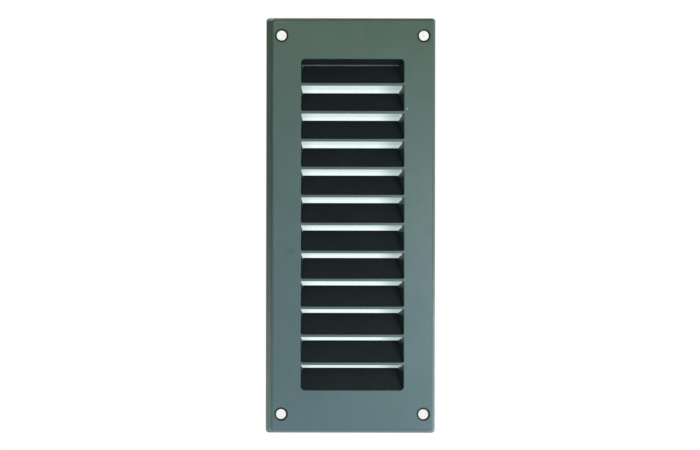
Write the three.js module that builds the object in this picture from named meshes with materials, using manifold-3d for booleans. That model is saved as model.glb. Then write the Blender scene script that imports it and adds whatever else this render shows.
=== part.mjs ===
// Louvred air grille: a pressed sheet-metal tray with twelve slots, twelve
// inclined blades behind them, two toothed side carriers, a closing strip at
// each end, and the weld studs and flange nuts that hold it together.
// Units are millimetres. +Z is up, the front faces -Y, +X is to the right
// when looking at the front. The origin is the centre of the bounding box.

import * as THREE from "three";
import { mergeVertices } from "three/addons/utils/BufferGeometryUtils.js";
import Module from "manifold-3d";

const wasm = await Module();
wasm.setup();

// ---------------------------------------------------------------- dimensions
const WIDTH = 82.8;            // over the rear rim
const HEIGHT = 202.9;
const DEPTH = 8.0;             // front face to rear rim
const SHEET = 1.2;             // plate thickness

const Y_FACE = -DEPTH / 2;     // front face
const Y_BACK = Y_FACE + SHEET; // back of the plate
const Y_RIM = DEPTH / 2;       // rear rim, the face that sits on the wall

const SLOTS = 12;
const SLOT_HALF_W = 24.78;
const PITCH = 13.43;           // slot to slot
const SLOT0_BOTTOM = 68.2;     // lower edge of the top slot
const SLOT0_TOP = 79.8;
const BAR_H = 1.25;            // height of the bars between slots

const WEB_LEAN = 1.4;          // inward lean of a carrier's web from front to rear

const BLADE_T = 0.8;           // blade sheet
const BLADE_RISE = 10.0;       // slot lower edge up to the blade's free edge
const Y_BLADE_REAR = Y_RIM - 0.1;
const BLADE_RUN = Y_BLADE_REAR - Y_BACK;
const BLADE_HALF_FRONT = 24.73; // half length at the foot
const BLADE_HALF_REAR = BLADE_HALF_FRONT - WEB_LEAN; // half length at the free edge

const FLANGE_T = 1.0;          // flat flange of the carriers and strips
const FLANGE_CORNER_R = 1.5;   // outer corners of those flanges
const Y_FLANGE = Y_BACK + FLANGE_T; // rear face of the flanges
const FLANGE_HOLE_D = 4.8;

const CARRIER_STUD_X = 29.6;
const CARRIER_STUD_Z = [-60.4, 0, 60.4];
const STRIP_STUD_X = 17;
const STRIP_STUD_Z = 85.6;

const BLANK_HALF_W = 30;       // half length of sections before the taper trims them
const CUT_OVER = 1;            // how far cutting bodies run past what they cut

const slotBottom = (k) => SLOT0_BOTTOM - PITCH * k;
const slotTop = (k) => (k === 0 ? SLOT0_TOP : slotBottom(k - 1) - BAR_H);

// ------------------------------------------------------------------- helpers
const MERGE_TOLERANCE = 1e-4;

const solid = (source) => {
  const flat = source.index ? source.toNonIndexed() : source;
  const bare = new THREE.BufferGeometry().setAttribute("position", flat.getAttribute("position"));
  const merged = mergeVertices(bare, MERGE_TOLERANCE);
  return new wasm.Manifold(new wasm.Mesh({
    numProp: 3,
    vertProperties: new Float32Array(merged.attributes.position.array),
    triVerts: new Uint32Array(merged.index.array),
  }));
};

const toGeometry = (body) => {
  const data = body.getMesh();
  const coords = new Float32Array(data.numVert * 3);
  for (let i = 0; i < data.numVert; i++) {
    const start = i * data.numProp;
    coords.set(data.vertProperties.subarray(start, start + 3), i * 3);
  }
  const result = new THREE.BufferGeometry()
    .setAttribute("position", new THREE.BufferAttribute(coords, 3))
    .setIndex(new THREE.BufferAttribute(new Uint32Array(data.triVerts), 1));
  result.computeVertexNormals();
  return result;
};

const shapeOf = (points) => new THREE.Shape(points.map(([u, v]) => new THREE.Vector2(u, v)));

// Outline in (x, z) with its own radius at each corner, as seen from the front.
const roundRect = (x0, x1, z0, z1, { topRight = 0, topLeft = 0, lowLeft = 0, lowRight = 0 }) => {
  const quarter = Math.PI / 2;
  const shape = new THREE.Shape();
  const corner = (x, z, radius, from) => {
    if (radius) shape.absarc(x, z, radius, from, from + quarter, false);
  };
  shape.moveTo(x0 + lowLeft, z0);
  shape.lineTo(x1 - lowRight, z0);
  corner(x1 - lowRight, z0 + lowRight, lowRight, -quarter);
  shape.lineTo(x1, z1 - topRight);
  corner(x1 - topRight, z1 - topRight, topRight, 0);
  shape.lineTo(x0 + topLeft, z1);
  corner(x0 + topLeft, z1 - topLeft, topLeft, quarter);
  shape.lineTo(x0, z0 + lowLeft);
  corner(x0 + lowLeft, z0 + lowLeft, lowLeft, Math.PI);
  return shape;
};

// An (x, z) outline pulled along Y from y0 to y1.
const pullY = (shape, y0, y1) => {
  const prism = new THREE.ExtrudeGeometry(shape, {
    depth: y1 - y0, bevelEnabled: false, curveSegments: 5,
  });
  prism.rotateX(Math.PI / 2);      // (x, y, z) -> (x, -z, y)
  prism.translate(0, y1, 0);
  return solid(prism);
};

// A (y, z) outline pulled along X from x0 to x1, as a geometry and as a solid.
const prismX = (points, x0, x1) => {
  const prism = new THREE.ExtrudeGeometry(shapeOf(points), {
    depth: x1 - x0, bevelEnabled: false,
  });
  const position = prism.attributes.position;
  for (let i = 0; i < position.count; i++) {
    position.setXYZ(i, position.getZ(i) + x0, position.getX(i), position.getY(i));
  }
  return prism;
};
const pullX = (points, x0, x1) => solid(prismX(points, x0, x1));

// Round body on an axis along Y: profile of [radius, y], closed on the axis.
const turnY = (profile, segments) => {
  const points = profile.map(([radius, y]) => new THREE.Vector2(radius, y));
  return solid(new THREE.LatheGeometry(points, segments));
};

const rodY = (radius, y0, y1, segments) =>
  turnY([[0, y0], [radius, y0], [radius, y1], [0, y1]], segments);

// Stack of rounded rectangles, rear to front: [y, half width, half height, radius].
const stack = (levels) => {
  const [, baseX, baseZ, baseR] = levels[0];
  const shape = roundRect(-baseX, baseX, -baseZ, baseZ, {
    topRight: baseR, topLeft: baseR, lowLeft: baseR, lowRight: baseR,
  });
  const steps = levels.length - 1;
  const body = new THREE.ExtrudeGeometry(shape, {
    depth: steps, steps, bevelEnabled: false, curveSegments: 6,
  });
  // moves a coordinate of the first level to its place on another level
  const slide = (value, baseHalf, half, radius) => {
    const past = Math.max(0, Math.abs(value) - (baseHalf - baseR));
    return Math.sign(value) * (half - radius + past * (radius / baseR));
  };
  const position = body.attributes.position;
  for (let i = 0; i < position.count; i++) {
    const [y, halfX, halfZ, radius] = levels[Math.round(position.getZ(i))];
    const x = slide(position.getX(i), baseX, halfX, radius);
    const z = slide(position.getY(i), baseZ, halfZ, radius);
    position.setXYZ(i, x, y, z);
  }
  return solid(body);
};

// ---------------------------------------------------------------- face plate
const DRAFT = 2.9;             // how far the sides lean out from face to rim
const BEND_R = 1.3;            // outside radius of the bend round the face
const INNER_BEND_R = BEND_R - SHEET + 0.15;
const BEND_STEPS = 5;
const RIM_CORNER_R = 1.6;      // plan radius of the corners at the rim
const FACE_CORNER_R = 1.1;     // plan radius of the corners at the face
const MIN_CORNER_R = 0.5;
const CORNER_R_LOSS = 0.55;    // corner radius lost per millimetre inside the outer skin

const WINDOW_R = 1.9;          // top corners of the first, bottom corners of the last slot
const SLOT_R = 0.8;            // bottom corners of the other slots

const HOLE_X = 34.15;          // corner screw holes
const HOLE_Z = 90.9;
const HOLE_R = 4.7 / 2;        // at the foot of the recess, the narrowest place
const SINK_R = 6.5 / 2;        // shallow recess round the hole at the front
const SINK_DEPTH = 0.25;
const HOLE_R_BACK = 5.3 / 2;   // the hole opens out to the back

// Levels of a tray skin: a wall leaning in from the rear, then the bend into the face.
// offset is the distance inside the outer skin, measured square to the sheet.
const trayLevels = (offset, bendR, yFront, yRear) => {
  const lean = Math.atan2(DRAFT, DEPTH);
  const turn = Math.PI / 2 - lean;
  const side = offset / Math.cos(lean);
  // growth of the outline over the rim's outer edge, negative when inside it
  const wallAt = (y) => -DRAFT * (Y_RIM - y) / DEPTH - side;
  const level = (y, growth) => {
    const forward = Math.max(0, (Y_RIM - y) / DEPTH);
    const plain = RIM_CORNER_R + (FACE_CORNER_R - RIM_CORNER_R) * forward;
    const radius = Math.max(MIN_CORNER_R, plain - offset * CORNER_R_LOSS);
    return [y, WIDTH / 2 + growth, HEIGHT / 2 + growth, radius];
  };
  const levels = [level(yRear, wallAt(yRear))];
  const centreY = yFront + bendR;
  const centreGrowth = wallAt(yFront) - bendR * Math.tan(turn / 2);
  for (let i = 0; i <= BEND_STEPS; i++) {
    // from the wall's normal to the face's normal
    const angle = lean + (i / BEND_STEPS) * turn;
    levels.push(level(centreY - bendR * Math.sin(angle), centreGrowth + bendR * Math.cos(angle)));
  }
  return levels;
};

const slotCutter = (k) => {
  const top = k === 0 ? WINDOW_R : 0;
  const low = k === SLOTS - 1 ? WINDOW_R : SLOT_R;
  const outline = roundRect(-SLOT_HALF_W, SLOT_HALF_W, slotBottom(k), slotTop(k), {
    topRight: top, topLeft: top, lowLeft: low, lowRight: low,
  });
  return pullY(outline, Y_FACE - CUT_OVER, Y_BACK + CUT_OVER);
};

// The recess and the flare both run on past the sheet at their own slope.
const screwHoleCutter = () => {
  const over = 0.5;
  const sinkSlope = (SINK_R - HOLE_R) / SINK_DEPTH;
  const flareSlope = (HOLE_R_BACK - HOLE_R) / (SHEET - SINK_DEPTH);
  return turnY([
    [0, Y_FACE - over],
    [SINK_R + over * sinkSlope, Y_FACE - over],
    [HOLE_R, Y_FACE + SINK_DEPTH],
    [HOLE_R_BACK + over * flareSlope, Y_BACK + over],
    [0, Y_BACK + over],
  ], 28);
};

const makePlate = () => {
  const outer = stack(trayLevels(0, BEND_R, Y_FACE, Y_RIM));
  const inner = stack(trayLevels(SHEET, INNER_BEND_R, Y_BACK, Y_RIM + CUT_OVER));
  let plate = outer.subtract(inner);
  for (let k = 0; k < SLOTS; k++) plate = plate.subtract(slotCutter(k));
  const screwHole = screwHoleCutter();
  for (const x of [-HOLE_X, HOLE_X]) {
    for (const z of [-HOLE_Z, HOLE_Z]) plate = plate.subtract(screwHole.translate(x, 0, z));
  }
  return plate;
};

// -------------------------------------------------------------------- blades
// Each blade has a flat foot behind the bar and an inclined leg that starts at
// the slot's lower edge and climbs to the free rear edge.
const FOOT_H = 1.1;
const TAB_REACH = 26.1;        // end tabs go out to here
const TAB_FROM = 0.40;         // tab edges, as fractions of the inclined leg
const TAB_TO = 0.66;

const legLength = Math.hypot(BLADE_RUN, BLADE_RISE);
const legY = BLADE_RUN / legLength;   // direction of the leg
const legZ = BLADE_RISE / legLength;

// Point at a fraction of the leg, set back square to its front skin by inset;
// z is the slot's lower edge.
const legPoint = (fraction, inset, z) => [
  Y_BACK + legY * legLength * fraction + legZ * inset,
  legZ * legLength * fraction - legY * inset + z,
];

// Where the leg's rear skin reaches a given y.
const rearSkinAt = (y, z) =>
  legPoint((y - Y_BACK - legZ * BLADE_T) / (legY * legLength), BLADE_T, z);

const bladeSection = (z) => [
  [Y_BACK, z - FOOT_H],
  [Y_BACK + BLADE_T, z - FOOT_H],
  rearSkinAt(Y_BACK + BLADE_T, z),
  rearSkinAt(Y_BLADE_REAR, z),
  [Y_BLADE_REAR, BLADE_RISE + z],
  [Y_BACK, z],
];

const tabSection = (z, play) => {
  const from = TAB_FROM - play / legLength;
  const to = TAB_TO + play / legLength;
  return [
    legPoint(from, -play, z),
    legPoint(from, BLADE_T + play, z),
    legPoint(to, BLADE_T + play, z),
    legPoint(to, -play, z),
  ];
};

// Upright body, narrowing to the rear, that trims the ends of blades and tongue.
const makeTaper = () => {
  const slope = (BLADE_HALF_FRONT - BLADE_HALF_REAR) / BLADE_RUN;
  const halfAt = (y) => BLADE_HALF_FRONT - slope * (y - Y_BACK);
  const y0 = Y_BACK - CUT_OVER;
  const y1 = Y_RIM + CUT_OVER;
  const plan = shapeOf([
    [-halfAt(y0), y0], [halfAt(y0), y0],
    [halfAt(y1), y1], [-halfAt(y1), y1],
  ]);
  const prism = new THREE.ExtrudeGeometry(plan, { depth: HEIGHT, bevelEnabled: false });
  prism.translate(0, 0, -HEIGHT / 2);
  return solid(prism);
};
const taper = makeTaper();
const pullTapered = (points) => pullX(points, -BLANK_HALF_W, BLANK_HALF_W).intersect(taper);

const makeBlade = (k) => {
  const z = slotBottom(k);
  return pullTapered(bladeSection(z)).add(pullX(tabSection(z, 0), -TAB_REACH, TAB_REACH));
};

// ------------------------------------------------------------------ carriers
// A carrier is a flange flat on the plate and a toothed web that leans in
// towards the rear, with one tooth and one tab slot for each blade.
const WEB_T = 1.0;
const SPINE = 2.0;             // depth of the web between its teeth
const TOOTH_DROP = 1.6;        // a tooth starts this far under its blade's front skin
const CARRIER_FLANGE_IN = SLOT_HALF_W + 0.4;
const CARRIER_FLANGE_OUT = 33.6;
const CARRIER_HALF_H = 80.5;
const TAB_FIT = 0.12;          // play of a blade tab in its carrier slot

// Upper edge of a tooth: a line from the slot's top edge at the plate down to
// the blade's free edge.
const toothTopAt = (k, y) => {
  const plateZ = slotTop(k);
  return plateZ + (slotBottom(k) + BLADE_RISE - plateZ) * (y - Y_BACK) / BLADE_RUN;
};

const webSection = () => {
  const ySpine = Y_BACK + SPINE;
  const points = [[Y_BACK, -CARRIER_HALF_H], [ySpine, -CARRIER_HALF_H]];
  for (let k = SLOTS - 1; k >= 0; k--) {
    const z = slotBottom(k);
    points.push(
      [ySpine, z + SPINE * BLADE_RISE / BLADE_RUN - TOOTH_DROP],
      [Y_BLADE_REAR, z + BLADE_RISE - TOOTH_DROP],
      [Y_BLADE_REAR, z + BLADE_RISE],
      [ySpine, toothTopAt(k, ySpine)],
    );
  }
  points.push([ySpine, CARRIER_HALF_H], [Y_BACK, CARRIER_HALF_H]);
  return points;
};

const makeWeb = () => {
  const web = prismX(webSection(), SLOT_HALF_W, SLOT_HALF_W + WEB_T);
  const position = web.attributes.position;
  for (let i = 0; i < position.count; i++) {
    const inward = WEB_LEAN * (position.getY(i) - Y_BACK) / BLADE_RUN;
    position.setX(i, position.getX(i) - inward);
  }
  return solid(web);
};

const drillFlange = (body, spots) => {
  const hole = rodY(FLANGE_HOLE_D / 2, Y_BACK - 1, Y_BACK + 3, 18);
  return spots.reduce((rest, [x, z]) => rest.subtract(hole.translate(x, 0, z)), body);
};

const makeRightCarrier = () => {
  const flange = roundRect(
    CARRIER_FLANGE_IN, CARRIER_FLANGE_OUT, -CARRIER_HALF_H, CARRIER_HALF_H,
    { topRight: FLANGE_CORNER_R, lowRight: FLANGE_CORNER_R });
  let carrier = makeWeb().add(pullY(flange, Y_BACK, Y_FLANGE));
  for (let k = 0; k < SLOTS; k++) {
    const tabSlot = tabSection(slotBottom(k), TAB_FIT);
    carrier = carrier.subtract(pullX(tabSlot, SLOT_HALF_W - 3, SLOT_HALF_W + WEB_T + 2));
  }
  return drillFlange(carrier, CARRIER_STUD_Z.map((z) => [CARRIER_STUD_X, z]));
};

// ------------------------------------------------------------ closing strips
const STRIP_HALF_W = 29.0;
const STRIP_IN = 81.0;         // inner edge of the closing strips' flange
const STRIP_OUT = 89.8;
const WING_HALF_W = 26.4;
const WING_T = 0.8;            // height of the wings
const WING_GAP = 0.06;         // wings above the carriers' top teeth
const Y_WING = Y_BACK + SPINE + 0.15; // front end of the wings
const Y_TIP_FRONT = Y_BLADE_REAR - 1.05; // rear end of the tongue
const Y_TIP_REAR = Y_BLADE_REAR - 0.35;
const TIP_Z = slotBottom(0) + BLADE_RISE - 0.15;
const TIP_H = 0.95;            // upright rear face of the tongue
const Y_SILL_REAR = Y_BLADE_REAR - 1.2;
const SILL_HALF_W = BLADE_HALF_FRONT - 0.6;

const drillStrip = (strip, z) => drillFlange(strip, [[-STRIP_STUD_X, z], [STRIP_STUD_X, z]]);

// Top: flange on the plate, then a tongue that runs back and down, stops just
// in front of the first blade near its free edge and closes the gap over it.
// Wings on both sides of the tongue pass just above the carriers' top teeth.
const makeTopStrip = () => {
  const tongue = pullTapered([
    [Y_BACK, STRIP_IN],
    [Y_BACK, STRIP_IN - 0.95],
    [Y_BACK + 0.6, STRIP_IN - 1.2],
    [Y_TIP_FRONT, TIP_Z],
    [Y_TIP_REAR, TIP_Z],
    [Y_TIP_REAR, TIP_Z + TIP_H],
    [Y_FLANGE, STRIP_IN],
    [Y_FLANGE, STRIP_IN + 0.6],
    [Y_BACK, STRIP_IN + 0.6],
  ]);
  const frontZ = toothTopAt(0, Y_WING) + WING_GAP;
  const rearZ = toothTopAt(0, Y_TIP_REAR) + WING_GAP;
  const wings = pullX([
    [Y_WING, frontZ], [Y_TIP_REAR, rearZ],
    [Y_TIP_REAR, rearZ + WING_T], [Y_WING, frontZ + WING_T],
  ], -WING_HALF_W, WING_HALF_W);
  const flange = pullY(
    roundRect(-STRIP_HALF_W, STRIP_HALF_W, STRIP_IN, STRIP_OUT,
      { topRight: FLANGE_CORNER_R, topLeft: FLANGE_CORNER_R }),
    Y_BACK, Y_FLANGE);
  return drillStrip(flange.add(tongue).add(wings), STRIP_STUD_Z);
};

// Bottom: flange on the plate with a short sill square to it.
const makeBottomStrip = () => {
  const sill = pullX([
    [Y_BACK, -STRIP_IN], [Y_BACK, -STRIP_IN - FLANGE_T],
    [Y_SILL_REAR, -STRIP_IN - FLANGE_T], [Y_SILL_REAR, -STRIP_IN],
  ], -SILL_HALF_W, SILL_HALF_W);
  const flange = pullY(
    roundRect(-STRIP_HALF_W, STRIP_HALF_W, -STRIP_OUT, -STRIP_IN,
      { lowLeft: FLANGE_CORNER_R, lowRight: FLANGE_CORNER_R }),
    Y_BACK, Y_FLANGE);
  return drillStrip(flange.add(sill), -STRIP_STUD_Z);
};

// ------------------------------------------------------------ studs and nuts
const STUD_R = 3.0 / 2;
const STUD_BASE_R = 4.0 / 2;
const STUD_BASE_H = 0.6;
const STUD_LEN = 5.0;
const STUD_CHAMFER = 0.35;
const NUT_FLAT_R = 5.5 / 2;    // half the width across flats
const NUT_HEX_R = NUT_FLAT_R / Math.cos(Math.PI / 6); // out to the hexagon's corners
const NUT_FLANGE_R = 6.8 / 2;
const NUT_FLANGE_H = 0.7;
const NUT_FLANGE_EDGE = 0.35;  // height of the flange's straight edge
const NUT_H = 2.4;
const NUT_BORE_R = 3.4 / 2;
const HEX_SINK = 0.2;          // the hexagon starts this far inside the flange

const makeStud = () => turnY([
  [0, Y_BACK],
  [STUD_BASE_R, Y_BACK],
  [STUD_BASE_R, Y_BACK + STUD_BASE_H],
  [STUD_R, Y_BACK + STUD_BASE_H],
  [STUD_R, Y_BACK + STUD_LEN - STUD_CHAMFER],
  [STUD_R - STUD_CHAMFER, Y_BACK + STUD_LEN],
  [0, Y_BACK + STUD_LEN],
], 16);

// The nut sits on the rear face of a flange.
const makeNut = () => {
  const yShoulder = Y_FLANGE + NUT_FLANGE_H;
  const yEnd = Y_FLANGE + NUT_H;
  const hexH = NUT_H - NUT_FLANGE_H + HEX_SINK;
  const hex = new THREE.CylinderGeometry(NUT_HEX_R, NUT_HEX_R, hexH, 6);
  hex.translate(0, yShoulder - HEX_SINK + hexH / 2, 0);
  const flange = turnY([
    [0, Y_FLANGE],
    [NUT_FLANGE_R, Y_FLANGE],
    [NUT_FLANGE_R, Y_FLANGE + NUT_FLANGE_EDGE],
    [NUT_FLAT_R, yShoulder],
    [0, yShoulder],
  ], 18);
  // bevels the hexagon's corners at its rear end
  const bevel = turnY([
    [0, yShoulder - 0.3],
    [NUT_HEX_R + 0.6, yShoulder - 0.3],
    [NUT_HEX_R + 0.6, yEnd - 0.9],
    [NUT_FLAT_R - 0.15, yEnd],
    [0, yEnd],
  ], 18);
  const bore = rodY(NUT_BORE_R, Y_FLANGE - CUT_OVER, yEnd + CUT_OVER, 16);
  return flange.add(solid(hex).intersect(bevel)).subtract(bore);
};

// ----------------------------------------------------------------- materials
const paint = (settings) => new THREE.MeshStandardMaterial(settings);
const satinGrey = () => paint({ color: 0x5f7470, roughness: 0.42, metalness: 0.35 });
const nearBlack = () => paint({ color: 0x1b2224, roughness: 0.5, metalness: 0.1 });
const darkGrey = () => paint({ color: 0x2c3835, roughness: 0.5, metalness: 0.1 });
const zinc = () => paint({ color: 0xb4b8b6, roughness: 0.35, metalness: 0.9 });

// ------------------------------------------------------------------ assembly
const label = (number) => String(number).padStart(2, "0");

const makeMesh = (name, body, material) => {
  const mesh = new THREE.Mesh(toGeometry(body), material);
  mesh.name = name;
  return mesh;
};

const makeBlades = () => {
  const group = new THREE.Group();
  for (let k = 0; k < SLOTS; k++) {
    group.add(makeMesh("louvre_blade_" + label(k + 1), makeBlade(k), nearBlack()));
  }
  return group;
};

// A stud and a nut at each place: left carrier, right carrier, top, bottom.
const makeFixings = () => {
  const group = new THREE.Group();
  const stud = makeStud();
  const nut = makeNut();
  const spots = [
    ...[-1, 1].flatMap((side) => CARRIER_STUD_Z.map((z) => [side * CARRIER_STUD_X, z])),
    ...[1, -1].flatMap((end) => [-1, 1].map((side) => [side * STRIP_STUD_X, end * STRIP_STUD_Z])),
  ];
  spots.forEach(([x, z], i) => {
    for (const [name, body] of [["weld_stud_", stud], ["flange_nut_", nut]]) {
      const mesh = makeMesh(name + label(i + 1), body, zinc());
      mesh.position.set(x, 0, z);
      group.add(mesh);
    }
  });
  return group;
};

const carrier = makeRightCarrier();
const grille = new THREE.Group();
grille.add(
  makeMesh("face_plate", makePlate(), satinGrey()),
  makeBlades(),
  makeMesh("blade_carrier_right", carrier, darkGrey()),
  makeMesh("blade_carrier_left", carrier.mirror([1, 0, 0]), darkGrey()),
  makeMesh("top_closing_strip", makeTopStrip(), nearBlack()),
  makeMesh("bottom_closing_strip", makeBottomStrip(), nearBlack()),
  makeFixings(),
);

export default grille;
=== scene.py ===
import math
import random

import bmesh
import bpy
import numpy as np
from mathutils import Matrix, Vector
from mathutils.geometry import delaunay_2d_cdt


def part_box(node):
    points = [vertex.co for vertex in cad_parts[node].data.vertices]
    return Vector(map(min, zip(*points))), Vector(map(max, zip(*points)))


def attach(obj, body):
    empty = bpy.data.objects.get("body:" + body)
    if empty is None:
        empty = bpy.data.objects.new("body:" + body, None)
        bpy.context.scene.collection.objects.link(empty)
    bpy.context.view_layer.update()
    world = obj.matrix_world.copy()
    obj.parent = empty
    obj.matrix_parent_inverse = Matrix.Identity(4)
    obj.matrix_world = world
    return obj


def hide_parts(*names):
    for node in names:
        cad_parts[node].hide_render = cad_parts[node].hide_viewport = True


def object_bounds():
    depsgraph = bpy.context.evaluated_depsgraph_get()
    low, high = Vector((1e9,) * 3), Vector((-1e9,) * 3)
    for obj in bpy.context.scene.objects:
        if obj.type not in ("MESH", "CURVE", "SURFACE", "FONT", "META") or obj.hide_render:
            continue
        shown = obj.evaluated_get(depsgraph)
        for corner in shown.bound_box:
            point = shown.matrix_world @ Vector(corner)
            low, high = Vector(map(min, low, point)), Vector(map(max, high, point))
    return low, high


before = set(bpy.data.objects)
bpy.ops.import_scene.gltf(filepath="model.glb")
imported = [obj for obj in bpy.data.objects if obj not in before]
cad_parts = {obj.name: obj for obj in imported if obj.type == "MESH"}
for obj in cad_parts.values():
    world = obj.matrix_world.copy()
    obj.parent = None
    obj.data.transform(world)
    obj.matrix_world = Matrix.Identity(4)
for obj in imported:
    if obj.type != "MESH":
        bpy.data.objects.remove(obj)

CAD_LO, CAD_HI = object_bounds()
MM = 0.001
random.seed(7)
scene = bpy.context.scene

# ------------------------------------------------------------------ dimensions
# The same section as the CAD plate, in millimetres.
plate_lo, plate_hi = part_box("face_plate")
WIDTH = round((plate_hi.x - plate_lo.x) / MM, 4)
HEIGHT = round((plate_hi.z - plate_lo.z) / MM, 4)
Y_FACE = round(plate_lo.y / MM, 4)
Y_RIM = round(plate_hi.y / MM, 4)
SHEET = 1.2
Y_BACK = Y_FACE + SHEET
DEPTH = Y_RIM - Y_FACE
DRAFT = 2.9
BEND_R = 1.3
RIM_CORNER_R, FACE_CORNER_R = 1.6, 1.1
SLOTS, SLOT_HALF_W, PITCH = 12, 24.78, 13.43
SLOT0_BOTTOM, SLOT0_TOP, BAR_H = 68.2, 79.8, 1.25
WINDOW_R, SLOT_R = 1.9, 0.8
HOLE_X, HOLE_Z, HOLE_D, SINK_D = 34.15, 90.9, 4.7, 6.5
SINK_DEPTH, HOLE_D_BACK = 0.25, 5.3


def slot_bottom(k):
    return SLOT0_BOTTOM - PITCH * k


def slot_top(k):
    return SLOT0_TOP if k == 0 else slot_bottom(k - 1) - BAR_H


# ------------------------------------------------------------------ mesh tools
class Skin:
    """Collects points in millimetres and faces, and makes one mesh object in metres."""

    def __init__(self):
        self.co, self.faces = [], []

    def ring(self, pts):
        i = len(self.co)
        self.co.extend(pts)
        return list(range(i, i + len(pts)))

    def bridge(self, a, b, flip=False):
        n = len(a)
        for i in range(n):
            j = (i + 1) % n
            f = (a[i], a[j], b[j], b[i])
            self.faces.append(f[::-1] if flip else f)

    def cap(self, a, flip=False):
        self.faces.append(tuple(a[::-1] if flip else a))

    def make(self, name, smooth=True):
        me = bpy.data.meshes.new(name)
        me.from_pydata([(x * MM, y * MM, z * MM) for x, y, z in self.co], [], self.faces)
        bm = bmesh.new()
        bm.from_mesh(me)
        bmesh.ops.remove_doubles(bm, verts=bm.verts, dist=1e-7)
        bmesh.ops.recalc_face_normals(bm, faces=bm.faces)
        bm.to_mesh(me)
        bm.free()
        for p in me.polygons:
            p.use_smooth = smooth
        me.validate()
        o = bpy.data.objects.new(name, me)
        scene.collection.objects.link(o)
        return o


def even_normals(o, sharp=None):
    m = o.modifiers.new("even_normals", "WEIGHTED_NORMAL")
    m.mode = "FACE_AREA"
    m.weight = 60
    m.keep_sharp = sharp is not None
    return m


def round_rect(cx, cz, hx, hz, radii, y, arc=6, side_x=1, side_z=1):
    """Ring of a rounded rectangle, counter-clockwise seen from +Z-up front; radii are tr, tl, bl, br."""
    pts = []
    corners = [(1, 1, 0, radii[0]), (-1, 1, 90, radii[1]), (-1, -1, 180, radii[2]), (1, -1, 270, radii[3])]
    arcs = []
    for sx, sz, a0, r in corners:
        ox, oz = cx + sx * (hx - r), cz + sz * (hz - r)
        arcs.append([(ox + r * math.cos(math.radians(a0 + 90 * i / arc)), oz + r * math.sin(math.radians(a0 + 90 * i / arc))) for i in range(arc + 1)])
    for c in range(4):
        pts += arcs[c]
        n = side_x if c in (0, 2) else side_z
        a, b = arcs[c][-1], arcs[(c + 1) % 4][0]
        for i in range(1, n):
            pts.append((a[0] + (b[0] - a[0]) * i / n, a[1] + (b[1] - a[1]) * i / n))
    return [(x, y, z) for x, z in pts]


def circle(cx, cz, r, y, n=48):
    return [(cx + r * math.cos(2 * math.pi * i / n), y, cz + r * math.sin(2 * math.pi * i / n)) for i in range(n)]


def inside(px, pz, poly):
    """Which points lie inside a closed outline (even-odd)."""
    x, z = poly[:, 0], poly[:, 1]
    x2, z2 = np.roll(x, -1), np.roll(z, -1)
    hit = np.zeros(len(px), bool)
    for i in range(len(x)):
        c = ((z[i] > pz) != (z2[i] > pz)) & (px < (x2[i] - x[i]) * (pz - z[i]) / (z2[i] - z[i] + 1e-30) + x[i])
        hit ^= c
    return hit


# ------------------------------------------------------------------ face plate
lean = math.atan2(DRAFT, DEPTH)
turn = math.pi / 2 - lean


def side_profile():
    """(y, e, corner radius) from the front face round the bend, over the rim and back to the plate's back."""
    prof = []

    def radius(y, off):
        f = min(1, max(0, (Y_RIM - y) / DEPTH))
        return max(0.45, RIM_CORNER_R + (FACE_CORNER_R - RIM_CORNER_R) * f - off * 0.55)

    def put(y, e, off=0.0):
        prof.append((y, e, radius(y, off)))

    corner = -DRAFT
    tangent = BEND_R * math.tan(turn / 2)
    ce = corner - tangent
    put(Y_FACE, ce - 0.05)
    steps = 9
    for i in range(steps + 1):
        a = math.pi / 2 - turn * i / steps
        put(Y_FACE + BEND_R - BEND_R * math.sin(a), ce + BEND_R * math.cos(a))
    y0, e0 = prof[-1][0], prof[-1][1]
    tx, ty = math.sin(lean), math.cos(lean)          # down the wall to the rear
    nx, ny = math.cos(lean), -math.sin(lean)         # out of the wall
    # fine press line where the side leaves the bend
    for s, d in ((0.05, 0.0), (0.14, 0.10), (0.22, 0.14), (0.30, 0.10), (0.42, 0.0)):
        put(y0 + ty * s - ny * d, e0 + tx * s - nx * d, d)
    total = (Y_RIM - y0) / ty
    for s in (total * 0.45, total - 0.34):
        put(y0 + ty * s, e0 + tx * s)
    # rolled rear edge, just inside the outline
    rr = 0.3
    cy = Y_RIM - rr
    a0, a1 = -lean, math.pi / 2
    # centre of the roll: rr in from the wall and from the rim plane
    ec = -DRAFT * (Y_RIM - cy) / DEPTH - rr / math.cos(lean)
    for i in range(5):
        a = a0 + (a1 - a0) * i / 4
        put(cy + rr * math.sin(a), ec + rr * math.cos(a))
    # inner edge of the rim
    ri = 0.22
    ein = -SHEET / math.cos(lean)                    # inner skin at the rim plane
    ec2 = -DRAFT * (ri) / DEPTH + ein + ri / math.cos(lean)
    for i in range(4):
        a = math.pi / 2 + (math.pi / 2 - lean) * i / 3
        put(Y_RIM - ri + ri * math.sin(a), ec2 + ri * math.cos(a), SHEET)
    # inner wall and inner bend
    r_in = 0.35
    corner_in = -DRAFT * (Y_RIM - Y_BACK) / DEPTH + ein
    tan_in = r_in * math.tan(turn / 2)
    ce_in = corner_in - tan_in
    for f in (0.5,):
        ym = Y_RIM + (Y_BACK - Y_RIM) * f
        put(ym, -DRAFT * (Y_RIM - ym) / DEPTH + ein, SHEET)
    for i in range(4):
        a = lean + turn * i / 3
        put(Y_BACK + r_in - r_in * math.sin(a), ce_in + r_in * math.cos(a), SHEET)
    put(Y_BACK, ce_in - 0.15, SHEET)
    return prof


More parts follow.
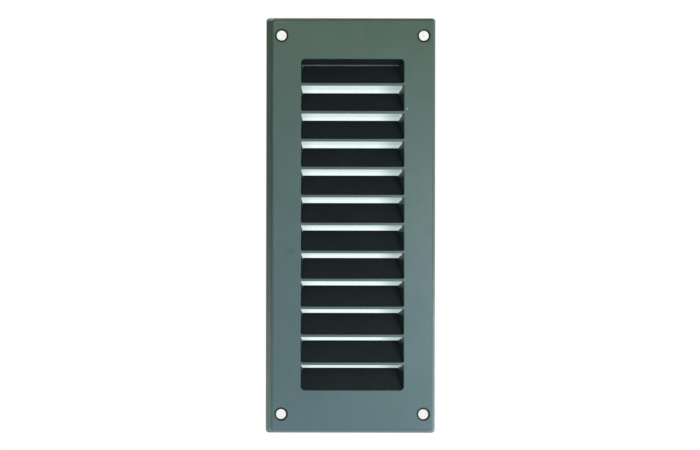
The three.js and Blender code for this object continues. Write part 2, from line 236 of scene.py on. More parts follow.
def plate_mesh():
    s = Skin()
    prof = side_profile()
    outer_rings = []
    for y, e, r in prof:
        hx, hz = WIDTH / 2 + e, HEIGHT / 2 + e
        outer_rings.append(s.ring(round_rect(0, 0, hx, hz, (r,) * 4, y, arc=8, side_x=16, side_z=40)))
    for a, b in zip(outer_rings, outer_rings[1:]):
        s.bridge(a, b)
    front_loops, back_loops = [outer_rings[0]], [outer_rings[-1]]

    # slots: rolled front edge (die side) and a smaller radius at the back
    for k in range(SLOTS):
        zt, zb = slot_top(k), slot_bottom(k)
        top = WINDOW_R if k == 0 else 0.22
        bot = WINDOW_R if k == SLOTS - 1 else SLOT_R
        rf, rb = 0.26, 0.12
        prof_s = [(rf + 0.05, Y_FACE)]
        prof_s += [(rf * (1 - math.sin(a)), Y_FACE + rf * (1 - math.cos(a))) for a in [math.pi / 2 * i / 5 for i in range(6)]]
        prof_s += [(rb * (1 - math.cos(a)), Y_BACK - rb * (1 - math.sin(a))) for a in [math.pi / 2 * i / 3 for i in range(4)]]
        prof_s.append((rb + 0.05, Y_BACK))
        rings = []
        for off, y in prof_s:
            hx, hz = SLOT_HALF_W + off, (zt - zb) / 2 + off
            rings.append(s.ring(round_rect(0, (zt + zb) / 2, hx, hz, (top + off, top + off, bot + off, bot + off), y, arc=5, side_x=14, side_z=4)))
        for a, b in zip(rings, rings[1:]):
            s.bridge(b, a)
        front_loops.append(rings[0])
        back_loops.append(rings[-1])

    # corner holes, each in a shallow recess, opening out a little to the back
    for sx in (-1, 1):
        for sz in (-1, 1):
            R, r, rb = SINK_D / 2, HOLE_D / 2, HOLE_D_BACK / 2
            yr = Y_FACE + SINK_DEPTH
            prof_h = [(R + 0.07, Y_FACE), (R + 0.01, Y_FACE + 0.012), (R - 0.06, Y_FACE + 0.05),
                      ((R + r) / 2, Y_FACE + SINK_DEPTH * 0.55), (r + 0.08, yr - 0.035), (r + 0.015, yr),
                      (r, yr + 0.07), (r + 0.06, yr + 0.22), ((r + rb) / 2, (yr + Y_BACK) / 2), (rb - 0.03, Y_BACK - 0.07),
                      (rb, Y_BACK - 0.015), (rb + 0.07, Y_BACK), (rb + 0.2, Y_BACK)]
            rings = [s.ring(circle(sx * HOLE_X, sz * HOLE_Z, q, y)) for q, y in prof_h]
            for a, b in zip(rings, rings[1:]):
                s.bridge(b, a)
            front_loops.append(rings[0])
            back_loops.append(rings[-1])

    # flat skins, filled between the loops, with a light grid of inner points
    for loops, y, flip in ((front_loops, Y_FACE, False), (back_loops, Y_BACK, True)):
        pts, ids, edges, polys = [], [], [], []
        for loop in loops:
            base = len(pts)
            for v in loop:
                pts.append((s.co[v][0], s.co[v][2]))
                ids.append(v)
            n = len(loop)
            edges += [(base + i, base + (i + 1) % n) for i in range(n)]
            polys.append(np.array([(s.co[v][0], s.co[v][2]) for v in loop]))
        ring_pts = np.array(pts)
        step = 3.1
        gx = np.arange(-WIDTH / 2 + 2, WIDTH / 2 - 1.9, step)
        gz = np.arange(-HEIGHT / 2 + 2, HEIGHT / 2 - 1.9, step)
        grid = np.array([(x + (0.5 * step if j % 2 else 0), z) for j, z in enumerate(gz) for x in gx])
        ok = inside(grid[:, 0], grid[:, 1], polys[0])
        for p in polys[1:]:
            ok &= ~inside(grid[:, 0], grid[:, 1], p)
        grid = grid[ok]
        d = np.sqrt(((grid[:, None, :] - ring_pts[None, :, :]) ** 2).sum(2)).min(1)
        grid = grid[d > 1.5]
        for x, z in grid:
            ids.append(len(s.co))
            s.co.append((float(x), y, float(z)))
            pts.append((float(x), float(z)))
        v2, _, f2, ov, _, _ = delaunay_2d_cdt([Vector(p) for p in pts], edges, [], 0, 1e-6)
        back = [ids[o[0]] if o else None for o in ov]
        cen = np.array([[(v2[f[0]].x + v2[f[1]].x + v2[f[2]].x) / 3, (v2[f[0]].y + v2[f[1]].y + v2[f[2]].y) / 3] for f in f2])
        keep = inside(cen[:, 0], cen[:, 1], polys[0])
        for p in polys[1:]:
            keep &= ~inside(cen[:, 0], cen[:, 1], p)
        for f, k in zip(f2, keep):
            if k and all(back[i] is not None for i in f):
                t = tuple(back[i] for i in f)
                s.faces.append(t if not flip else t[::-1])
    return s.make("face_plate_pressed")


plate = plate_mesh()
even_normals(plate)
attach(plate, "root")
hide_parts("face_plate")
print("PLATE", len(plate.data.vertices), len(plate.data.polygons))
bmc = bmesh.new()
bmc.from_mesh(plate.data)
open_edges = sum(1 for e in bmc.edges if len(e.link_faces) != 2)
print("PLATE open edges", open_edges, "volume mm3", bmc.calc_volume() * 1e9)
bmc.free()
if open_edges:
    raise RuntimeError("face plate mesh is not closed: %d open edges" % open_edges)


# ------------------------------------------------------- CAD sheet-metal parts
def soften(node, width, segments=3, angle=24):
    """Sheared sheet edges: merge the facets, then round every edge by a hair."""
    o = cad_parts[node]
    w = o.modifiers.new("join", "WELD")
    w.merge_threshold = 2e-6
    d = o.modifiers.new("facets", "DECIMATE")
    d.decimate_type = "DISSOLVE"
    d.angle_limit = math.radians(1.0)
    b = o.modifiers.new("edges", "BEVEL")
    b.width = width * MM
    b.segments = segments
    b.limit_method = "ANGLE"
    b.angle_limit = math.radians(angle)
    b.use_clamp_overlap = True
    b.harden_normals = False
    n = o.modifiers.new("even_normals", "WEIGHTED_NORMAL")
    n.weight = 60
    n.keep_sharp = False
    for p in o.data.polygons:
        p.use_smooth = True
    return o


blade_nodes = sorted(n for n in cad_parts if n.startswith("louvre_blade_"))
for n in blade_nodes:
    soften(n, 0.14)
for n in ("blade_carrier_left", "blade_carrier_right", "top_closing_strip", "bottom_closing_strip"):
    soften(n, 0.12)


# ------------------------------------------------------------- studs and nuts
def thread(radius, depth, pitch, y0, y1, inward=False, n=36, per=6, taper=0.0):
    """Rings of a helical thread along Y."""
    rings = []
    steps = max(2, int(round((y1 - y0) / pitch * per)))
    for j in range(steps + 1):
        y = y0 + (y1 - y0) * j / steps
        fade = min(1.0, (y - y0) / (pitch * 0.6) + 0.001, (y1 - y) / (pitch * 0.6) + 0.001)
        pts = []
        for i in range(n):
            a = 2 * math.pi * i / n
            ph = ((y / pitch) - i / n) % 1.0
            tri = abs(ph * 2 - 1)                     # 1 at the crest
            cut = depth * (1 - min(1, max(0, (tri - 0.12) / 0.76))) * max(0, fade)
            r = radius + cut if inward else radius - cut
            end = 0.0 if taper == 0 else max(0, (y - (y1 - taper))) * 0.75
            pts.append(((r - end) * math.cos(a), y, (r - end) * math.sin(a)))
        rings.append(pts)
    return rings


def stud_mesh(seed):
    rnd = random.Random(seed)
    s = Skin()
    y = Y_BACK
    n = 36

    def loop(r, yy, wob=0.0):
        return s.ring([((r + wob * math.sin(3 * a + seed) + wob * 0.6 * math.sin(7 * a + 2 * seed)) * math.cos(a), yy,
                        (r + wob * math.sin(3 * a + seed) + wob * 0.6 * math.sin(7 * a + 2 * seed)) * math.sin(a))
                       for a in [2 * math.pi * i / n for i in range(n)]])

    rings = [loop(0.5, y), loop(1.9, y, 0.02), loop(1.97, y + 0.12, 0.02), loop(1.95, y + 0.34, 0.03), loop(1.84, y + 0.5, 0.02),
             loop(1.62, y + 0.58), loop(1.5, y + 0.62), loop(1.46, y + 0.72)]
    for pts in thread(1.46, 0.21, 0.5, y + 0.78, y + 4.92, n=n, taper=0.35):
        rings.append(s.ring(pts))
    rings.append(loop(1.08, y + 4.98))
    rings.append(loop(0.6, y + 5.0))
    for a, b in zip(rings, rings[1:]):
        s.bridge(a, b)
    s.cap(rings[0])
    s.cap(rings[-1], True)
    return s


def nut_mesh(spin):
    s = Skin()
    n = 72
    y0 = Y_BACK + 1.0
    H, AF, RF, HF = 2.4, 5.5, 3.38, 0.7

    def hex_r(a, af):
        b = ((a + math.pi / 6) % (math.pi / 3)) - math.pi / 6
        return af / 2 / math.cos(b)

    ang = [2 * math.pi * i / n for i in range(n)]

    def loop(fr, fy):
        return s.ring([(fr(a) * math.cos(a + spin), fy(a), fr(a) * math.sin(a + spin)) for a in ang])

    full = AF / 2 / math.cos(math.pi / 6)
    rc = 0.12

    def soft_hex(a, af):
        # corners a touch rounded
        return min(hex_r(a, af), full * af / AF - 0.07)

    rings = [loop(lambda a: 1.62, lambda a: y0), loop(lambda a: 3.2, lambda a: y0), loop(lambda a: RF - 0.05, lambda a: y0 + 0.04),
             loop(lambda a: RF, lambda a: y0 + 0.12), loop(lambda a: RF, lambda a: y0 + 0.26), loop(lambda a: RF - 0.06, lambda a: y0 + 0.34)]
    rings.append(loop(lambda a: max(soft_hex(a, AF) + 0.16, 2.98), lambda a: y0 + 0.5))
    rings.append(loop(lambda a: soft_hex(a, AF) + 0.04, lambda a: y0 + HF - 0.06))
    rings.append(loop(lambda a: soft_hex(a, AF), lambda a: y0 + HF + 0.04))
    top = lambda a: y0 + H - (soft_hex(a, AF) - AF / 2 * 0.955) * math.tan(math.radians(30))
    rings.append(loop(lambda a: soft_hex(a, AF), lambda a: top(a) - 0.07))
    rings.append(loop(lambda a: soft_hex(a, AF) - 0.03, lambda a: top(a)))
    rings.append(loop(lambda a: (soft_hex(a, AF) + AF / 2 * 0.95) / 2, lambda a: (top(a) + y0 + H) / 2 + 0.01))
    rings.append(loop(lambda a: AF / 2 * 0.95, lambda a: y0 + H - 0.004))
    rings.append(loop(lambda a: AF / 2 * 0.9, lambda a: y0 + H))
    rings.append(loop(lambda a: 1.86, lambda a: y0 + H))
    rings.append(loop(lambda a: 1.8, lambda a: y0 + H - 0.03))
    rings.append(loop(lambda a: 1.58, lambda a: y0 + H - 0.25))
    bore = thread(1.56, 0.1, 0.5, y0 + 0.2, y0 + H - 0.28, inward=True, n=n, per=4)
    for pts in reversed(bore):
        rings.append(s.ring([(x * math.cos(spin) - z * math.sin(spin), yy, x * math.sin(spin) + z * math.cos(spin)) for x, yy, z in pts]))
    for a, b in zip(rings, rings[1:]):
        s.bridge(a, b)
    s.bridge(rings[-1], rings[0])
    return s


stud_nodes = sorted(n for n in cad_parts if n.startswith("weld_stud_"))
nut_nodes = sorted(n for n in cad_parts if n.startswith("flange_nut_"))
studs, nuts = [], []
for i, n in enumerate(stud_nodes):
    lo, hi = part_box(n)
    c = (lo + hi) / 2
    s = stud_mesh(i + 1)
    s.co = [(x + c.x / MM, y, z + c.z / MM) for x, y, z in s.co]
    o = s.make(n.replace("weld_stud", "threaded_stud"))
    even_normals(o)
    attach(o, "root")
    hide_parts(n)
    studs.append(o)
for i, n in enumerate(nut_nodes):
    lo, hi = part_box(n)
    c = (lo + hi) / 2
    s = nut_mesh(random.Random(31 + i).uniform(0, math.pi / 3))
    s.co = [(x + c.x / MM, y, z + c.z / MM) for x, y, z in s.co]
    o = s.make(n.replace("flange_nut", "zinc_flange_nut"))
    even_normals(o)
    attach(o, "root")
    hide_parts(n)
    nuts.append(o)


# ------------------------------------------------------------------- materials
def lin(c):
    return tuple(((v / 255) / 12.92 if v / 255 <= 0.04045 else ((v / 255 + 0.055) / 1.055) ** 2.4) for v in c) + (1.0,)


class Nodes:
    """Short calls for a node tree working in object space, in millimetres."""

    def __init__(self, name):
        self.mat = bpy.data.materials.new(name)
        self.mat.use_nodes = True
        self.t = self.mat.node_tree
        self.n = self.t.nodes
        self.bsdf = self.n["Principled BSDF"]
        tc = self.n.new("ShaderNodeTexCoord")
        mm = self.n.new("ShaderNodeVectorMath")
        mm.operation = "SCALE"
        mm.inputs["Scale"].default_value = 1000.0
        self.t.links.new(tc.outputs["Object"], mm.inputs[0])
        self.pos = mm.outputs[0]
        sep = self.n.new("ShaderNodeSeparateXYZ")
        self.link(self.pos, sep.inputs[0])
        self.x, self.y, self.z = sep.outputs

    def link(self, a, b):
        self.t.links.new(a, b)

    def put(self, socket, v):
        if isinstance(v, (int, float)):
            socket.default_value = v
        elif isinstance(v, tuple):
            socket.default_value = v
        else:
            self.link(v, socket)

    def math(self, op, a, b=None, c=None, clamp=False):
        m = self.n.new("ShaderNodeMath")
        m.operation = op
        m.use_clamp = clamp
        for s, v in zip(m.inputs, (a, b, c)):
            if v is not None:
                self.put(s, v)
        return m.outputs[0]

    def span(self, v, a, b, lo=0.0, hi=1.0, smooth=False):
        m = self.n.new("ShaderNodeMapRange")
        m.interpolation_type = "SMOOTHSTEP" if smooth else "LINEAR"
        self.put(m.inputs["Value"], v)
        for k, val in (("From Min", a), ("From Max", b), ("To Min", lo), ("To Max", hi)):
            m.inputs[k].default_value = val
        return m.outputs[0]

    def stretch(self, scale):
        m = self.n.new("ShaderNodeVectorMath")
        m.operation = "MULTIPLY"
        self.link(self.pos, m.inputs[0])
        m.inputs[1].default_value = scale
        return m.outputs[0]

    def noise(self, scale, detail=3.0, rough=0.5, vec=None, distort=0.0, shift=0.0):
        m = self.n.new("ShaderNodeTexNoise")
        m.noise_dimensions = "4D"
        m.inputs["W"].default_value = shift
        m.inputs["Scale"].default_value = scale
        m.inputs["Detail"].default_value = detail
        m.inputs["Roughness"].default_value = rough
        m.inputs["Distortion"].default_value = distort
        self.link(vec if vec is not None else self.pos, m.inputs["Vector"])
        return m.outputs["Fac"]

    def ramp(self, fac, stops):
        m = self.n.new("ShaderNodeValToRGB")
        el = m.color_ramp.elements
        while len(el) < len(stops):
            el.new(0.5)
        for e, (p, c) in zip(el, stops):
            e.position, e.color = p, c
        self.put(m.inputs[0], fac)
        return m.outputs[0]

    def mix(self, fac, a, b, mode="MIX"):
        m = self.n.new("ShaderNodeMix")
        m.data_type = "RGBA"
        m.blend_type = mode
        m.clamp_factor = True
        self.put(m.inputs["Factor"], fac)
        self.put(m.inputs[6], a)
        self.put(m.inputs[7], b)
        return m.outputs[2]

    def gain(self, colour, k):
        """Multiply a colour by a value."""
        m = self.n.new("ShaderNodeVectorMath")
        m.operation = "SCALE"
        self.link(colour, m.inputs[0])
        self.put(m.inputs["Scale"], k)
        return m.outputs[0]

    def spot(self, x, z, r, soft=0.6, squash=1.0, ragged=0.35):
        """1 inside a soft ragged patch on the front, 0 outside."""
        dx = self.math("SUBTRACT", self.x, x)
        dz = self.math("MULTIPLY", self.math("SUBTRACT", self.z, z), squash)
        d = self.math("SQRT", self.math("ADD", self.math("MULTIPLY", dx, dx), self.math("MULTIPLY", dz, dz)))
        n = self.noise(1.6 / r, 4, 0.6, shift=x * 0.37)
        d = self.math("ADD", d, self.math("MULTIPLY", self.math("SUBTRACT", n, 0.5), r * ragged * 2))
        return self.span(d, r * (1 - soft), r, 1.0, 0.0, smooth=True)

    def bump(self, height, dist_mm, strength=1.0, normal=None):
        m = self.n.new("ShaderNodeBump")
        m.inputs["Strength"].default_value = strength
        m.inputs["Distance"].default_value = dist_mm * MM
        self.link(height, m.inputs["Height"])
        if normal is not None:
            self.link(normal, m.inputs["Normal"])
        return m.outputs["Normal"]

    def edge(self, lo=0.51, hi=0.56):
        g = self.n.new("ShaderNodeNewGeometry")
        return self.span(g.outputs["Pointiness"], lo, hi, 0.0, 1.0)

    def done(self, colour=None, rough=None, metal=None, normal=None, spec=None, coat=None):
        b = self.bsdf.inputs
        if colour is not None:
            self.put(b["Base Color"], colour)
        if rough is not None:
            self.put(b["Roughness"], rough)
        if metal is not None:
            self.put(b["Metallic"], metal)
        if normal is not None:
            self.put(b["Normal"], normal)
        if spec is not None:
            self.put(b["Specular IOR Level"], spec)
        if coat is not None:
            self.put(b["Coat Weight"], coat)
        return self.mat


LINE_Y = Y_FACE + BEND_R * (1 - math.sin(lean))      # where the bend ends and the wall begins


def plate_material():
    m = Nodes("satin_grey_paint")
    # painted light: the coat runs from a paler blue-grey at the bottom to a darker green at the top, standing for light
    # from below
    h = m.span(m.z, -101.3, 101.3)
    base = m.ramp(h, [(0.0, lin((90, 114, 121))), (0.11, lin((82, 106, 110))), (0.28, lin((76, 99, 102))), (0.55, lin((75, 97, 95))), (0.78, lin((74, 96, 90))), (1.0, lin((74, 95, 82)))])
    # slow mottling, blotches and a fine grain
    slow = m.span(m.noise(0.028, 3, 0.55, shift=1.0), 0.3, 0.7, 0.955, 1.045)
    blotch = m.span(m.noise(0.13, 4, 0.6, shift=2.3, distort=0.6), 0.3, 0.7, 0.972, 1.03)
    streak = m.span(m.noise(1.0, 3, 0.6, vec=m.stretch((1.1, 1.0, 0.045)), shift=4.0), 0.25, 0.75, 0.985, 1.016)
    grain = m.span(m.noise(4.2, 2, 0.7, shift=5.0), 0.2, 0.8, 0.975, 1.025)
    k = m.math("MULTIPLY", m.math("MULTIPLY", slow, blotch), m.math("MULTIPLY", streak, grain))
    # the coat drifts a little between green and blue-grey
    hue = m.noise(1.0, 3, 0.55, vec=m.stretch((0.11, 0.1, 0.045)), shift=7.0, distort=0.4)
    base = m.mix(1.0, base, m.ramp(hue, [(0.32, (0.945, 1.01, 0.955, 1)), (0.5, (1, 1, 1, 1)), (0.68, (1.05, 0.99, 1.045, 1))]), "MULTIPLY")
    # finger smudges and rubbed patches
    rub = None
    for x, z, r, dark, sq in ((-29.6, -12.6, 3.6, 0.14, 1.5), (-33.5, -9.0, 5.0, 0.035, 0.8), (21.4, -91.5, 6.0, 0.05, 1.0),
                              (34.6, 62.5, 5.5, 0.045, 1.2), (9.0, 89.0, 8.0, 0.035, 0.7), (36.2, -2.6, 3.4, 0.06, 0.8),
                              (-30.5, 47.0, 6.5, 0.035, 0.7), (30.5, -63.0, 7.5, -0.03, 0.6), (-28.0, -72.0, 7.0, 0.025, 0.8),
                              (31.0, 22.0, 8.0, -0.03, 0.5), (-12.0, -90.5, 9.0, -0.02, 1.2)):
        sp = m.math("MULTIPLY", m.spot(x, z, r, 0.8, sq), dark)
        rub = sp if rub is None else m.math("ADD", rub, sp)
    rub = m.math("MULTIPLY", rub, m.span(m.y, Y_FACE + 0.05, Y_FACE + 0.5, 1.0, 0.0, smooth=True))
    k = m.math("MULTIPLY", k, m.math("SUBTRACT", 1.0, rub))
    col = m.gain(base, k)
    # paint worn thin and paler on the sharpest edges
    worn = m.math("MULTIPLY", m.edge(0.515, 0.60), m.span(m.noise(0.9, 3, 0.6, shift=8.0), 0.42, 0.62, 0.0, 0.12))
    # hardly any wear on the flat between the slots and the outer bend
    flat = m.math("MAXIMUM", m.math("SUBTRACT", m.math("ABSOLUTE", m.x), WIDTH / 2 - 4.6), m.math("SUBTRACT", m.math("ABSOLUTE", m.z), HEIGHT / 2 - 4.6))
    worn = m.math("MULTIPLY", worn, m.span(flat, -0.4, 0.6, 0.12, 1.0))
    wall = m.math("MULTIPLY", m.span(m.y, LINE_Y + 0.45, LINE_Y + 0.75, 0.0, 1.0), m.span(m.y, 3.3, 3.6, 1.0, 0.0))
    worn = m.math("MULTIPLY", worn, m.math("SUBTRACT", 1.0, m.math("MULTIPLY", wall, 0.96)))
    col = m.mix(worn, col, lin((150, 166, 158)))
    # painted shade in the press line round the sides, darker by a noisy amount
    rim = m.math("MAXIMUM", m.math("SUBTRACT", m.math("ABSOLUTE", m.x), WIDTH / 2 - 5), m.math("SUBTRACT", m.math("ABSOLUTE", m.z), HEIGHT / 2 - 5))
    press_line_shade = m.math("MULTIPLY", m.span(m.y, LINE_Y - 0.12, LINE_Y + 0.06, 0.0, 1.0, smooth=True), m.span(m.y, LINE_Y + 0.34, LINE_Y + 0.52, 1.0, 0.0, smooth=True))
    press_line_shade = m.math("MULTIPLY", press_line_shade, m.span(rim, 0.0, 0.4, 0.0, 1.0))
    col = m.gain(col, m.math("SUBTRACT", 1.0, m.math("MULTIPLY", press_line_shade, m.span(m.noise(0.35, 3, 0.6, shift=9.0), 0.3, 0.7, 0.40, 0.62))))
    # painted light: paler underside of the tray, standing for light from the floor, and a painted highlight along the
    # top bend; gains set to match the reference tones
    painted_underside_light = m.math("MULTIPLY", m.span(m.z, -98.9, -98.4, 1.0, 0.0), m.span(m.y, LINE_Y + 0.3, LINE_Y + 0.6, 0.0, 1.0))
    col = m.gain(col, m.math("ADD", 1.0, m.math("MULTIPLY", painted_underside_light, 0.28)))
    over = m.math("MULTIPLY", m.span(m.z, 97.9, 98.6, 0.0, 1.0), m.span(m.y, LINE_Y + 0.1, LINE_Y + 0.4, 1.0, 0.0))
    col = m.gain(col, m.math("ADD", 1.0, m.math("MULTIPLY", over, 0.28)))
    # painted shade: the left wall is made darker and greener than the face, standing for the side turned from the light
    left = m.math("MULTIPLY", m.span(m.x, -39.2, -38.8, 1.0, 0.0), m.span(m.y, LINE_Y + 0.3, LINE_Y + 0.6, 0.0, 1.0))
    col = m.mix(left, col, m.mix(1.0, col, (0.86, 0.93, 0.80, 1), "MULTIPLY"))
    # one bright fleck by the second bar
    fleck = m.spot(26.1, 55.8, 0.50, 0.45, 1.0, 0.1)
    col = m.mix(m.math("MULTIPLY", fleck, 0.42), col, lin((205, 218, 212)))
    # near-black in the recesses of the corner holes
    ax, az = m.math("SUBTRACT", m.math("ABSOLUTE", m.x), HOLE_X), m.math("SUBTRACT", m.math("ABSOLUTE", m.z), HOLE_Z)
    away = m.math("SQRT", m.math("ADD", m.math("MULTIPLY", ax, ax), m.math("MULTIPLY", az, az)))
    away = m.math("ADD", away, m.math("MULTIPLY", m.math("SUBTRACT", m.noise(1.1, 3, 0.6, shift=10.0), 0.5), 0.12))
    sink = m.math("MULTIPLY", m.span(away, SINK_D / 2 - 0.02, SINK_D / 2 + 0.06, 1.0, 0.0), m.span(m.y, Y_BACK - 0.15, Y_BACK, 1.0, 0.0))
    col = m.mix(sink, col, (0.006, 0.010, 0.009, 1))
    rough = m.math("ADD", m.span(m.noise(0.22, 4, 0.6, shift=11.0), 0.3, 0.7, 0.41, 0.48), m.math("MULTIPLY", rub, 0.6))
    rough = m.math("ADD", rough, m.span(grain, 0.975, 1.025, -0.015, 0.015))
    peel = m.bump(m.noise(1.5, 2, 0.5, shift=13.0), 0.010, 0.55)
    fine = m.bump(m.noise(7.0, 2, 0.6, shift=14.0), 0.0035, 0.5, peel)
    return m.done(col, rough, m.math("SUBTRACT", 0.08, m.math("MULTIPLY", sink, 0.08)), fine, 0.32)


def dark_material(strip=False):
    m = Nodes("near_black_strip" if strip else "near_black_satin")
    tone = m.span(m.noise(0.09, 4, 0.6, shift=3.0), 0.3, 0.7, 0.9, 1.12)
    streak = m.span(m.noise(1.0, 3, 0.55, vec=m.stretch((0.06, 1.2, 1.2)), shift=6.0), 0.25, 0.75, 0.94, 1.06)
    col = m.gain(m.ramp(m.noise(0.4, 3, 0.5, shift=9.0), [(0.3, (0.0096, 0.0150, 0.0172, 1)), (0.7, (0.0116, 0.0176, 0.0200, 1))]), m.math("MULTIPLY", tone, streak))
    worn = m.math("MULTIPLY", m.edge(0.53, 0.66), m.span(m.noise(0.7, 3, 0.6, shift=12.0), 0.45, 0.65, 0.0, 0.08))
    col = m.mix(worn, col, lin((84, 96, 92)))
    dust = m.span(m.noise(2.6, 3, 0.7, shift=15.0), 0.62, 0.85, 0.0, 0.05)
    col = m.mix(dust, col, lin((120, 122, 116)))
    rough = m.span(m.noise(0.5, 4, 0.6, shift=18.0), 0.3, 0.7, 0.46, 0.56)
    peel = m.bump(m.noise(1.8, 2, 0.5, shift=20.0), 0.008, 0.5)
    if strip:
        # painted highlight: a pale line along the lower edge of the tongue, just over the first blade, standing for the
        # edge catching light
        n = m.noise(0.5, 3, 0.6, vec=m.stretch((1.0, 0.05, 0.05)), shift=22.0)
        low = m.math("MULTIPLY", m.span(m.z, TONGUE_Z + 0.10, TONGUE_Z + 0.26, 1.0, 0.0), m.span(m.math("ABSOLUTE", m.x), 22.9, 23.3, 1.0, 0.0))
        col = m.mix(m.math("MULTIPLY", low, m.span(n, 0.35, 0.6, 0.45, 0.95)), col, lin((112, 128, 122)))
    return m.done(col, rough, 0.0, peel, 0.18)


def carrier_material():
    m = Nodes("carrier_dark_paint")
    tone = m.span(m.noise(0.1, 4, 0.6, shift=23.0), 0.3, 0.7, 0.94, 1.06)
    grain = m.span(m.noise(3.6, 2, 0.7, shift=25.0), 0.2, 0.8, 0.97, 1.03)
    col = m.gain(m.ramp(m.span(m.z, -80, 80), [(0.0, lin((33, 45, 47))), (1.0, lin((36, 50, 49)))]), m.math("MULTIPLY", tone, grain))
    # painted light: the tops of the teeth, inside face only, made grey-green, standing for light through the gaps from
    # behind; weaker on the left and lower down
    up = m.math("MODULO", m.math("ADD", m.z, -SLOT0_BOTTOM + PITCH * SLOTS), PITCH)
    teeth_backlight = m.math("MULTIPLY", m.span(up, 8.7, 9.7, 0.0, 1.0, smooth=True), m.span(up, 12.2, 12.4, 1.0, 0.0))
    teeth_backlight = m.math("MULTIPLY", teeth_backlight, m.span(m.math("ABSOLUTE", m.x), SLOT_HALF_W + 0.25, SLOT_HALF_W + 0.4, 1.0, 0.0))
    teeth_backlight = m.math("MULTIPLY", teeth_backlight, m.span(m.x, -1.0, 1.0, 0.10, 1.0))
    teeth_backlight = m.math("MULTIPLY", teeth_backlight, m.span(m.z, SLOT0_BOTTOM - 0.2, SLOT0_BOTTOM, 1.0, 0.0))
    teeth_backlight = m.math("MULTIPLY", teeth_backlight, m.span(m.noise(0.9, 3, 0.6, shift=26.0), 0.3, 0.7, 0.75, 1.0))
    teeth_backlight = m.math("MULTIPLY", teeth_backlight, m.span(m.z, -75.0, 15.0, 0.45, 1.0))
    col = m.mix(teeth_backlight, col, lin((96, 128, 120)))
    worn = m.math("MULTIPLY", m.edge(0.53, 0.64), m.span(m.noise(0.8, 3, 0.6, shift=27.0), 0.45, 0.65, 0.0, 0.05))
    col = m.mix(worn, col, lin((110, 122, 116)))
    rough = m.span(m.noise(0.4, 4, 0.6, shift=28.0), 0.3, 0.7, 0.44, 0.54)
    peel = m.bump(m.noise(1.7, 2, 0.5, shift=29.0), 0.009, 0.5)
    return m.done(col, rough, 0.0, peel, 0.25)


def zinc_material():
    m = Nodes("zinc_plate")
    spangle = m.noise(0.9, 3, 0.6, shift=33.0, distort=0.8)
    col = m.ramp(spangle, [(0.3, (0.46, 0.47, 0.45, 1)), (0.55, (0.56, 0.57, 0.56, 1)), (0.75, (0.62, 0.60, 0.52, 1))])
    dull = m.span(m.noise(2.2, 4, 0.7, shift=35.0), 0.5, 0.75, 0.0, 0.35)
    col = m.mix(dull, col, (0.30, 0.30, 0.28, 1))
    rough = m.span(m.noise(1.8, 4, 0.6, shift=37.0), 0.3, 0.7, 0.24, 0.42)
    peel = m.bump(m.noise(5.0, 3, 0.6, shift=39.0), 0.006, 0.6)
    return m.done(col, rough, 0.9, peel, 0.5)


def stud_material():
    m = Nodes("copper_flashed_steel")
    col = m.ramp(m.noise(1.3, 4, 0.6, shift=43.0), [(0.3, (0.36, 0.25, 0.17, 1)), (0.6, (0.50, 0.36, 0.26, 1)), (0.8, (0.42, 0.39, 0.35, 1))])
    # scorched weld collar next to the plate
    scorch = m.math("MULTIPLY", m.span(m.y, Y_BACK + 0.35, Y_BACK + 0.75, 1.0, 0.0, smooth=True), m.span(m.noise(1.6, 3, 0.6, shift=44.0), 0.3, 0.7, 0.5, 0.95))
    col = m.mix(scorch, col, (0.075, 0.062, 0.055, 1))
    rough = m.span(m.noise(2.4, 4, 0.6, shift=45.0), 0.3, 0.7, 0.32, 0.5)
    peel = m.bump(m.noise(6.0, 3, 0.6, shift=46.0), 0.006, 0.6)
    return m.done(col, rough, 0.85, peel, 0.5)


TONGUE_Z = SLOT0_BOTTOM + 10.0 - 0.15
M_PLATE, M_DARK, M_CARRIER, M_ZINC, M_STUD = plate_material(), dark_material(), carrier_material(), zinc_material(), stud_material()
M_STRIP = dark_material(strip=True)


def paint(o, mat):
    if o.data.materials:
        for i in range(len(o.data.materials)):
            o.data.materials[i] = mat
    else:
        o.data.materials.append(mat)


paint(plate, M_PLATE)
for n in blade_nodes + ["top_closing_strip", "bottom_closing_strip"]:
    paint(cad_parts[n], M_DARK)
paint(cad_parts["top_closing_strip"], M_STRIP)
for n in ("blade_carrier_left", "blade_carrier_right"):
    paint(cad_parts[n], M_CARRIER)
for o in nuts:
    paint(o, M_ZINC)
for o in studs:
    paint(o, M_STUD)

# ------------------------------------------------------------ floor and lights
floor_z = CAD_LO.z


def stage_plane(name, size, z):
    me = bpy.data.meshes.new(name)
    n = 8
    bm = bmesh.new()
    bmesh.ops.create_grid(bm, x_segments=n, y_segments=n, size=size / 2)
    bm.to_mesh(me)
    bm.free()
    o = bpy.data.objects.new(name, me)
    o.location = (0, 0, z)
    scene.collection.objects.link(o)
    return o


floor = stage_plane("floor", 12.0, floor_z)


